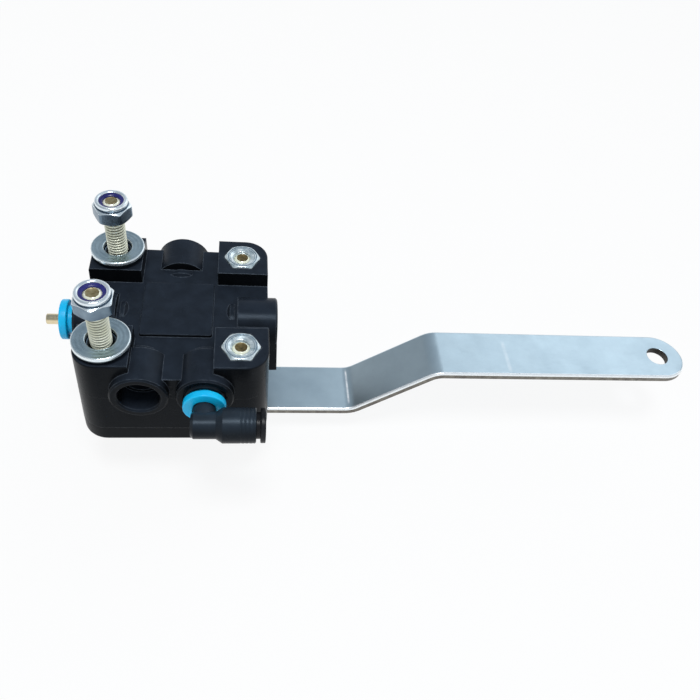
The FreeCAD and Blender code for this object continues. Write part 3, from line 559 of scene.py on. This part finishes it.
# The short screws' ends, down in the pad nuts, get a darker brown than the studs' ends.
darker_screw_end = metal("darker_screw_end", (0.27, 0.20, 0.09, 1), (0.10, 0.08, 0.04, 1), roughness=0.44,
                    spread=0.08, lines=2600.0, rounding=0.05, cloudiness=900.0)
head_low, stud_end = (corner.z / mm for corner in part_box("mounting_bolts"))
screw_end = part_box("housing_screws")[1].z / mm


def hex_radius(flats):
    """Distance from the axis to the side of a hexagon with two corners along X."""
    return lambda angle: flats / 2 / math.cos((angle % (math.pi / 3)) - math.pi / 6)


def socket_screw(name, centre, end, thread_length, nodes, end_finish):
    """Screw from its head to its square-cut end; painted shade darkens the thread deep below its
    crest.
    """
    hub = Vector(centre)
    key = hex_radius(key_flats)
    bm = bmesh.new()
    sunk = bm.verts.layers.float.new("sunk")
    rings = rings_of(bm, [(radius, head_low + height) for radius, height in (
        (0, 2.2), (key, 2.2), (key, 0.25), (2.7, 0.0), (5.2, 0.0), (5.7, 0.25), (6.0, 0.8),
        (6.0, 3.4), (5.8, 3.6), (3.2, 3.6), (m6_crest, 3.8))], screw_points, centre)
    start = end - thread_length
    rings += rings_of(bm, [(m6_crest, start - 0.6)], screw_points, centre)
    thread = threaded_rings(bm, m6_crest, m6_pitch, start, end - 0.65, end, end_flat, centre)
    thread += rings_of(bm, [(2.47, end - 0.6), (1.9, end - 0.05)], screw_points, centre)
    for ring in thread:
        for corner in ring:
            away = (corner.co.xy / mm - hub).length
            room = min(m6_crest, end_flat + end - corner.co.z / mm)
            corner[sunk] = min(1.0, max(0.0, (room - away - shade_start) / shade_depth))
    rings += thread
    rings += rings_of(bm, [(1.8, end), (1.5, end - 0.12), (0, end - 0.16)], screw_points, centre)
    skin_rings(bm, rings, False)

    def on_end(middle, normal):
        return int(middle.z > end - 0.2 and (middle.xy - hub).length < 1.8 and normal.z > 0.5)

    finished(name, bm, [yellow_zinc, end_finish], "housing", nodes, sharp=35.0,
             which=on_end)


stud_thread, screw_thread = 30.0, 7.0
socket_screw("stud_front", (-square_half, -square_half), stud_end, stud_thread,
             ["mounting_bolts"], cut_end)
socket_screw("stud_back", (-square_half, square_half), stud_end, stud_thread,
             ["mounting_bolts"], cut_end)
socket_screw("screw_front", (square_half, -square_half), screw_end, screw_thread,
             ["housing_screws"], darker_screw_end)
socket_screw("screw_back", (square_half, square_half), screw_end, screw_thread,
             ["housing_screws"], darker_screw_end)

# Four bright zinc hex nuts are let into the pads. They are cold formed, so both faces carry a
# chamfer that cuts a curve into each flat, and the tapped hole is countersunk. Under the left
# washers they are painted dark as the washers' shadow.
round_points = 96  # round each nut, washer and collet
nut_flats, nut_height = 10.0, 5.0
tumbled = 0.11  # width to which tumbling eases a nut's edges


def nut_outside(bm, flats, low, high, centre, turn=0.0):
    """Rings of a nut's outside from the lower face to the upper one; cold forming leaves blunt
    corners and a sloping rim round the flat of each face."""
    blunt, inset, rim, slope = 0.562, 0.18, 0.05, 0.60
    side = capped(hex_radius(flats), blunt * flats)
    face = flats / 2 - inset

    def lower(angle):
        return low + rim + slope * (side(angle) - face)

    def upper(angle):
        return high - rim - slope * (side(angle) - face)

    return [ring_of(bm, radius, height, round_points, centre, turn)
            for radius, height in ((face, low), (side, lower), (side, upper), (face, high))]


def tapped_rings(bm, crest, pitch, top, length, rows, centre):
    """Rings of a nut's thread from the top down."""
    rings = []
    for row in range(rows + 1):
        height = top - length * row / rows
        radius = thread_radius(crest, pitch, height, clearance=0.05)
        rings.append(ring_of(bm, radius, height, round_points, centre))
    return rings


def mark_eased(bm, outside, rounds=4):
    """Mark the edges of a nut that tumbling has eased: its first rounds and its six corners."""
    weight = bm.edges.layers.float.new("bevel_weight_edge")
    for ring in outside[:rounds]:
        for first, second in zip(ring, ring[1:] + ring[:1]):
            bm.edges.get((first, second))[weight] = 1.0
    low, high = outside[1:3]
    for step in range(0, round_points, round_points // 6):
        bm.edges.get((low[step], high[step]))[weight] = 1.0


def hex_nut(name, flats, low, high, crest, pitch, centre, body, nodes, finishes, pressed=()):
    """Plain nut with its thread. A ring pressed into its upper face is a list of (radius, depth)
    and holds the second finish, a darker zinc as painted shade."""
    hub = Vector(centre)
    countersink = crest + 0.35
    lead_in, rows_in_turn = 0.45, 8
    bm = bmesh.new()
    outside = nut_outside(bm, flats, low, high, centre)
    rings = rings_of(bm, [(countersink, low)], round_points, centre) + outside
    face = [(radius, high - depth) for radius, depth in pressed]
    face.append((countersink, high - (0.22 if pressed else 0.0)))
    rings += rings_of(bm, face, round_points, centre)
    tapped = high - low - 2 * lead_in
    rows = round(tapped / pitch * rows_in_turn)
    rings += tapped_rings(bm, crest, pitch, high - lead_in, tapped, rows, centre)
    skin_rings(bm, rings, True)
    mark_eased(bm, outside)

    def in_ring(middle, normal):
        far = (middle.xy - hub).length
        return int(high - 0.1 < middle.z < high - 0.01 and crest + 0.7 < far < crest + 1.6)

    finished(name, bm, finishes, body, nodes, sharp=40.0, bevel=tumbled,
             which=in_ring if pressed else None)


bright_zinc = metal("bright_zinc", (0.42, 0.50, 0.57, 1), (0.30, 0.37, 0.44, 1), roughness=0.18,
                    spread=0.07, lines=3600.0)
# A darker copy of the zinc paints shade on lock nut flats and grooves and in pressed rings.
shaded_zinc = metal("shaded_zinc", (0.23, 0.31, 0.38, 1), (0.12, 0.17, 0.23, 1), roughness=0.32,
                    spread=0.08, lines=2400.0, stretch=(1, 1, 0.15))
captive_zinc = metal("captive_zinc", (0.86, 0.94, 0.96, 1), (0.34, 0.44, 0.49, 1), roughness=0.24,
                     spread=0.07, lines=3200.0, rounding=0.30, cloudiness=620.0,
                     edge_wear_and_highlight=(0.96, 0.99, 1.0, 1), metallic=0.6)
# Painted shadow: the left nuts, under the washers, are near black.
washer_shadow_zinc = metal("washer_shadow_zinc", (0.055, 0.062, 0.070, 1), (0.020, 0.024, 0.030, 1),
                   roughness=0.36, spread=0.08, lines=3200.0)
pressed_ring = [(4.55, 0.0), (4.40, 0.07), (4.25, 0.0), (3.95, 0.0), (3.80, 0.06)]
nut_low, left_nut_top = (corner.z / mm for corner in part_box("captive_nuts"))
right_nut_top = nut_low + nut_height
for label, x, y, top, zinc in (
        ("front_left", -square_half, -square_half, left_nut_top, washer_shadow_zinc),
        ("back_left", -square_half, square_half, left_nut_top, washer_shadow_zinc),
        ("front_right", square_half, -square_half, right_nut_top, captive_zinc),
        ("back_right", square_half, square_half, right_nut_top, captive_zinc)):
    hex_nut("captive_nut_" + label, nut_flats, top - nut_height, top, m6_crest, m6_pitch, (x, y),
            "housing", ["captive_nuts"], [zinc, shaded_zinc], pressed_ring)

# A stamped zinc washer lies on each left nut round the stud. Its rims are rolled over by the die
# and carry a painted highlight, the press has left shallow rings in its upper face, and its lower
# side is painted dark as shade.


def eased(outline, ease):
    """Outline of (radius, height) with each corner rounded."""
    bends = 3
    smooth = []
    for index, corner in enumerate(outline):
        here = Vector(corner)
        back = Vector(outline[index - 1]) - here
        ahead = Vector(outline[(index + 1) % len(outline)]) - here
        if here.x == 0 or back.length < 1e-6 or ahead.length < 1e-6:
            smooth.append(tuple(here))
            continue
        reach = min(ease, 0.45 * back.length, 0.45 * ahead.length)
        start, end = here + back.normalized() * reach, here + ahead.normalized() * reach
        for step in range(bends + 1):
            share = step / bends
            bend = start.lerp(here, share).lerp(here.lerp(end, share), share)
            smooth.append(tuple(bend))
    return smooth


def lathe(name, outline, finishes, nodes, place=None, centre=(0.0, 0.0), which=None):
    """Turned or moulded round piece of the housing from its outline, closed on the axis where the
    outline meets it."""
    bm = bmesh.new()
    rings = rings_of(bm, outline, round_points, centre)
    skin_rings(bm, rings, outline[0][0] != 0)
    finished(name, bm, finishes, "housing", nodes, sharp=40.0, place=place, which=which)


washer_zinc = metal("washer_zinc", (0.45, 0.56, 0.62, 1), (0.33, 0.43, 0.49, 1), roughness=0.32,
                    spread=0.06, lines=3000.0, cloudiness=420.0)
# Near-white zinc paints a highlight on the rims; dark zinc paints shade on the lower side.
washer_rim_highlight = metal("washer_rim_highlight", (0.86, 0.93, 0.96, 1), (0.72, 0.82, 0.87, 1), roughness=0.24,
                   spread=0.06, lines=3600.0, metallic=0.8)
washer_shade = metal("washer_shade", (0.10, 0.13, 0.15, 1), (0.05, 0.07, 0.08, 1), roughness=0.40,
                     spread=0.08, lines=2400.0)
washer_low, washer_high = (corner.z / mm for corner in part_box("mounting_washers"))
hole_radius, washer_radius = 4.2, 8.0
flat_from, flat_to = 4.45, 7.62  # radii between the rims with the painted highlight
washer_outline = eased([(hole_radius, washer_low), (washer_radius, washer_low),
                        (washer_radius, washer_low + 0.7), (washer_radius, washer_high),
                        (hole_radius, washer_high)], 0.38)
washer_rings = []
for step in range(30):
    fine_ring = 0.020 * (1 - math.cos(step * 0.54))
    broad_ring = 0.03 * math.sin(step * 0.108)
    washer_rings.append((7.5 - 0.1 * step, washer_high - fine_ring - broad_ring))
inner_rim = -4  # the last four points of the outline
washer_outline[inner_rim:inner_rim] = washer_rings


def washer(label, y):
    """Washer on a stud, with its own finish for the flat, the painted highlight of the rims and
    the painted shade of the lower side.
    """
    hub = Vector((-square_half, y))

    def part(middle, normal):
        if middle.z < washer_low + 0.60:
            return 2
        return int(not flat_from < (middle.xy - hub).length < flat_to)

    lathe("washer_" + label, washer_outline, [washer_zinc, washer_rim_highlight, washer_shade],
          ["mounting_washers"], centre=hub, which=part)


washer("front", -square_half)
washer("back", square_half)

# The lock nuts have a hexagon below and a thin collar above, rolled in over a ring of navy nylon
# that grips the thread. The roll leaves a groove round the foot of the collar.
# The collar's lighter zinc is a painted highlight.
lit_collar_zinc = metal("lit_collar_zinc", (0.90, 0.96, 0.99, 1), (0.74, 0.83, 0.89, 1), roughness=0.20,
                    spread=0.07, lines=3600.0, metallic=0.8)
nut_navy = plastic("insert_navy", (0.017, 0.018, 0.15, 1), (0.008, 0.008, 0.08, 1),
                   roughness=0.30, grains=2200.0, rounding=0.08, specular=0.4)
lock_nut_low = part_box("lock_nuts")[0].z / mm
hexagon_top = lock_nut_low + 4.3
# Both outlines are radii and heights above the lower face.
collar_outline = (
    (4.50, 4.28), (4.34, 4.38), (4.36, 4.60), (4.58, 4.80), (4.70, 5.10), (4.72, 5.42),
    (4.66, 5.70), (4.50, 5.90), (4.26, 5.99), (4.00, 5.98), (3.76, 5.90), (3.58, 5.78),
    (3.52, 5.66), (3.55, 5.60), (3.68, 5.58), (3.68, 4.25), (3.20, 4.22))
insert_outline = (
    (3.05, 4.32), (3.66, 4.32), (3.66, 5.56), (3.44, 5.60), (3.26, 5.52), (2.80, 5.44),
    (2.46, 5.20), (2.44, 4.95), (3.05, 4.60))


def lock_nut(label, centre, turn):
    """Lock nut with its nylon ring, turned by some degrees about its stud."""
    hub = Vector(centre)
    bm = bmesh.new()
    outside = nut_outside(bm, nut_flats, lock_nut_low, hexagon_top, centre, math.radians(turn))
    rings = rings_of(bm, [(3.35, lock_nut_low)], round_points, centre) + outside
    rings += rings_of(bm, [(radius, lock_nut_low + height) for radius, height in collar_outline],
                      round_points, centre)
    rings += tapped_rings(bm, m6_crest, m6_pitch, top=lock_nut_low + 4.05, length=3.6, rows=30,
                          centre=centre)
    skin_rings(bm, rings, True)
    mark_eased(bm, outside, rounds=3)

    def shaded_faces(middle, normal):
        """The six flats and the groove take the darker zinc as painted shade."""
        upright = abs(normal.z) < 0.2 and middle.z < hexagon_top
        on_flat = upright and (middle.xy - hub).length > 4.85
        return int(on_flat or 4.25 < middle.z - lock_nut_low < 4.72)

    finished("lock_nut_" + label, bm, [lit_collar_zinc, shaded_zinc], "housing",
             ["lock_nuts"], sharp=40.0, bevel=tumbled, which=shaded_faces)
    ring = eased([(radius, lock_nut_low + height) for radius, height in insert_outline], 0.08)
    lathe("insert_" + label, ring, [nut_navy], ["lock_nut_inserts"], centre=centre)


lock_nut("front", (-square_half, -square_half), 30.0)
lock_nut("back", (-square_half, square_half), -1.0)

# Push-in ports: a bright blue release collet stands off each used port, in front of the black
# cartridge that is pressed in flush. Its sleeve is slit so that it can snap in past the stop.
port_face, port_height = 29.9, -10.3
pair_half = 9.1  # from the middle of the front wall to each port of the pair
tube_bore = 3.05  # radius that lets a 6 mm tube through
slit_half_angle = 6  # degrees


def at_port(place, outward):
    """Placement with Z pointing out of a port's face."""
    turn = Vector((0, 0, 1)).rotation_difference(Vector(outward)).to_matrix().to_4x4()
    return Matrix.Translation(Vector(place) * mm) @ turn


def collet_outline(stand_off, thickness, flange, sleeve, throat, barb, foot, ease):
    """Flange in front of the port, sleeve through its throat, and a barb behind it on the foot."""
    face = stand_off + thickness
    return eased([
        (tube_bore, face), (flange, face), (flange, stand_off), (sleeve, stand_off),
        (sleeve, -throat / 2), (sleeve, -throat), (barb, -throat), (tube_bore + 0.3, -foot),
        (tube_bore, -foot), (tube_bore, -throat / 2)], ease)


def slit_collet(name, outline, slit_top, finish, body, node_name, place):
    """Collet from its outline, with four slits cut up its sleeve by taking faces away."""
    bm = bmesh.new()
    skin_rings(bm, rings_of(bm, outline, round_points), True)
    gone = []
    for face in bm.faces:
        middle = face.calc_center_median() / mm
        angle = math.degrees(math.atan2(middle.y, middle.x)) % 90
        if middle.z < slit_top and min(angle, 90 - angle) < slit_half_angle:
            gone.append(face)
    bmesh.ops.delete(bm, geom=gone, context="FACES")
    finished(name, bm, [finish], body, [node_name], sharp=40.0, place=place)


front_port = at_port((pair_half, -port_face, port_height), (0, -1, 0))
left_port = at_port((-port_face, 0, port_height), (-1, 0, 0))
collet_blue = plastic("collet_blue", (0.008, 0.58, 0.93, 1), (0.003, 0.46, 0.86, 1),
                      roughness=0.34, grains=2600.0, rounding=0.25, specular=0.32)
for label, stand_off, port in (("front", 1.2, front_port), ("left", 2.0, left_port)):
    outline = collet_outline(stand_off, thickness=2.2, flange=6.05, sleeve=4.3, throat=3.3,
                             barb=4.75, foot=4.9, ease=0.4)
    slit_collet("collet_" + label, outline, -1.3, collet_blue, label + "_release",
                label + "_collet", port)
# The fittings' upward faces carry dust and a painted sheen.
fitting_black = plastic(
    "fitting_black", (0.0070, 0.0085, 0.0110, 1), (0.0040, 0.0050, 0.0065, 1), roughness=0.33,
    grains=3000.0, rounding=0.18, specular=0.15, sheen=(0.68, 0.84, 1.0, 1),
    dust_and_sheen=(0.022, 0.031, 0.043, 1))
for cartridge in ("front_cartridge", "left_cartridge"):
    dress(cartridge, fitting_black)

# A blanking plug turned from brass fills the left port and is held there as a tube would be; its
# thin tail stands out to be pulled.
brass = metal("plug_brass", (0.84, 0.75, 0.54, 1), (0.70, 0.58, 0.36, 1), roughness=0.24,
              spread=0.06, lines=5200.0, stretch=(1, 0.1, 0.1))
tail_radius, tail_end, plug_shoulder = 1.6, 8.7, 3.6
plug_radius, plug_end = 3.0, -14.4
plug_outline = eased([(0, tail_end), (tail_radius, tail_end), (tail_radius, plug_shoulder),
                      (plug_radius, plug_shoulder), (plug_radius, plug_end), (0, plug_end)], 0.3)
lathe("plug_turned", plug_outline, [brass], ["port_plug"], left_port)

# The elbow plugs into the right port of the pair: a glossy black moulding whose ringed barrel
# turns across the front of the valve, with a small black collet in its mouth.
dress("elbow_body", fitting_black)
collet_black = plastic("collet_black", (0.014, 0.015, 0.018, 1), (0.008, 0.008, 0.010, 1),
                       roughness=0.34, grains=2600.0, rounding=0.15, specular=0.16)
elbow_mouth = at_port((23.5, -38.8, port_height), (1, 0, 0))
small_outline = collet_outline(1.2, thickness=1.4, flange=4.9, sleeve=3.75, throat=2.3, barb=4.15,
                               foot=3.3, ease=0.25)
slit_collet("collet_elbow", small_outline, -0.9, collet_black, "elbow_release",
            "elbow_collet", elbow_mouth)

# The lever is a cranked bar of 2.5 mm steel, sheared, pierced, bent twice and zinc plated. Its
# long edges are eased by tumbling, the satin coat runs in faint streaks along the bar, and the
# sheared sides under it are rougher and painted darker and brownish as shade and reflection.
lever_zinc = metal("lever_zinc", (0.56, 0.68, 0.75, 1), (0.47, 0.58, 0.65, 1), roughness=0.33,
                   spread=0.05, lines=2600.0, stretch=(0.12, 1, 1), rounding=0.3, depth=0.005,
                   cloudiness=60.0)
# Painted shade and a painted brownish reflection darken the sheared sides.
sheared_side_shade = metal("sheared_side_shade", (0.25, 0.24, 0.21, 1), (0.13, 0.12, 0.11, 1), roughness=0.46,
                     spread=0.10, lines=1900.0, stretch=(1, 1, 0.10), rounding=0.1, depth=0.012,
                     cloudiness=500.0)
# Near-white zinc paints a highlight on the rounded front edge.
painted_edge_highlight = metal("front_edge_highlight", (0.96, 0.98, 0.99, 1), (0.88, 0.92, 0.94, 1), roughness=0.26,
                  spread=0.05, lines=2600.0, stretch=(0.12, 1, 1), rounding=0.05, depth=0.004,
                  cloudiness=300.0, metallic=0.5)
# Near-black zinc paints shade on the wall of the far hole.
pierced_wall_shade = metal("pierced_wall_shade", (0.075, 0.072, 0.068, 1), (0.025, 0.024, 0.022, 1),
                     roughness=0.50, spread=0.10, lines=1900.0, stretch=(1, 1, 0.10),
                     rounding=0.05, depth=0.012, cloudiness=500.0)


def painted_bend_highlight(finish, along, middle, reach, half_width, strength):
    """Painted highlight across the bar along a bend, in patches, on faces that look up."""
    tree = finish.node_tree
    skin = tree.nodes["Principled BSDF"].inputs
    place = node(tree, "ShaderNodeTexCoord").outputs
    spot = node(tree, "ShaderNodeSeparateXYZ", {0: place["Object"]}).outputs
    facing = node(tree, "ShaderNodeSeparateXYZ", {0: place["Normal"]}).outputs
    shares = []
    for axis, centre, wide, core in (("X", along, half_width, 0.3), ("Y", middle, reach, 0.75)):
        off = maths(tree, "ABSOLUTE", maths(tree, "ADD", spot[axis], -centre * mm))
        shares.append(graded(tree, off, wide * mm, wide * core * mm))
    patches = clouds(tree, 500.0, 3.0)
    shares.append(graded(tree, patches, 0.30, 0.60, 0.4 * strength, strength))
    shares.append(graded(tree, facing["Z"], 0.0, 0.4))
    line = shares[0]
    for share in shares[1:]:
        line = maths(tree, "MULTIPLY", line, share)
    before = skin["Base Color"].links[0].from_socket
    tree.links.new(blended(tree, line, before, (0.97, 0.98, 0.99, 1)), skin["Base Color"])
    return line


# Painted highlights lie across the bar at the inner and outer bend, where it is also less
# metallic.
inner_bend_highlight = painted_bend_highlight(lever_zinc, along=56.4, middle=0.5, reach=8.0, half_width=0.45,
                          strength=1.0)
outer_bend_highlight = painted_bend_highlight(lever_zinc, along=109.0, middle=-1.5, reach=7.5, half_width=0.9,
                          strength=0.25)
lever_tree = lever_zinc.node_tree
either_bend_highlight = maths(lever_tree, "ADD", inner_bend_highlight, outer_bend_highlight)
less_metal = maths(lever_tree, "MULTIPLY_ADD", either_bend_highlight, -0.6, 1.0)
lever_tree.links.new(less_metal, lever_tree.nodes["Principled BSDF"].inputs["Metallic"])

far_hole = Vector((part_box("lever_arm")[1].x / mm - 9.5, 0.0))
by_far_hole, by_shaft_hole = 4.3, 6.0  # radii that hold each hole's wall and edges
tumbled_edge, broken_edge = 0.75, 0.18
PLAIN, SIDE, RIM, WALL = range(4)
bm = bmesh.new()
bm.from_mesh(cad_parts["lever_arm"].data)
bmesh.ops.remove_doubles(bm, verts=bm.verts, dist=0.001 * mm)
bmesh.ops.dissolve_limit(bm, angle_limit=math.radians(0.5), verts=bm.verts, edges=bm.edges)
bm.normal_update()
for face in bm.faces:
    if abs(face.normal.z) < 0.3 and face.normal.xy.length > 0.9:
        from_hole = (face.calc_center_median().xy / mm - far_hole).length
        face.material_index = WALL if from_hole < by_far_hole else SIDE
# Tumbling rounds the long upper edges; the holes and the under side only lose their burr.
long_edges, other_edges = [], []
for edge in bm.edges:
    if len(edge.link_faces) != 2 or edge.calc_face_angle() < math.radians(40):
        continue
    middle = (edge.verts[0].co + edge.verts[1].co) / 2 / mm
    upper = any(face.normal.z > 0.5 for face in edge.link_faces)
    pierced = (middle.xy - far_hole).length < by_far_hole or middle.xy.length < by_shaft_hole
    (long_edges if upper and not pierced else other_edges).append(edge)
bmesh.ops.bevel(bm, geom=long_edges, offset=tumbled_edge * mm, offset_type="OFFSET", segments=4,
                profile=0.5, affect="EDGES", material=RIM, clamp_overlap=False)
other_edges = [edge for edge in other_edges if edge.is_valid]
bmesh.ops.bevel(bm, geom=other_edges, offset=broken_edge * mm, offset_type="OFFSET", segments=2,
                profile=0.5, affect="EDGES", material=-1, clamp_overlap=True)
bm.normal_update()
# Only the rounded edge along the front takes the painted highlight.
for face in bm.faces:
    if face.material_index == RIM and face.normal.y > -0.15:
        face.material_index = PLAIN
finished("lever_bar", bm, [lever_zinc, sheared_side_shade, painted_edge_highlight, pierced_wall_shade], "lever",
         ["lever_arm"])

# A split spring washer and a plain nut clamp the lever on the shaft's thread. Both are steel,
# plated in bright zinc, and the nut is cold formed like those in the pads.
dress("lever_washer", bright_zinc)
clamp_low, clamp_high = (corner.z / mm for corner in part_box("lever_nut"))
clamp_flats = 13.0
hex_nut("lever_nut_formed", clamp_flats, clamp_low, clamp_high, m8_crest, m8_pitch, (0.0, 0.0),
        "lever", ["lever_nut"], [bright_zinc])
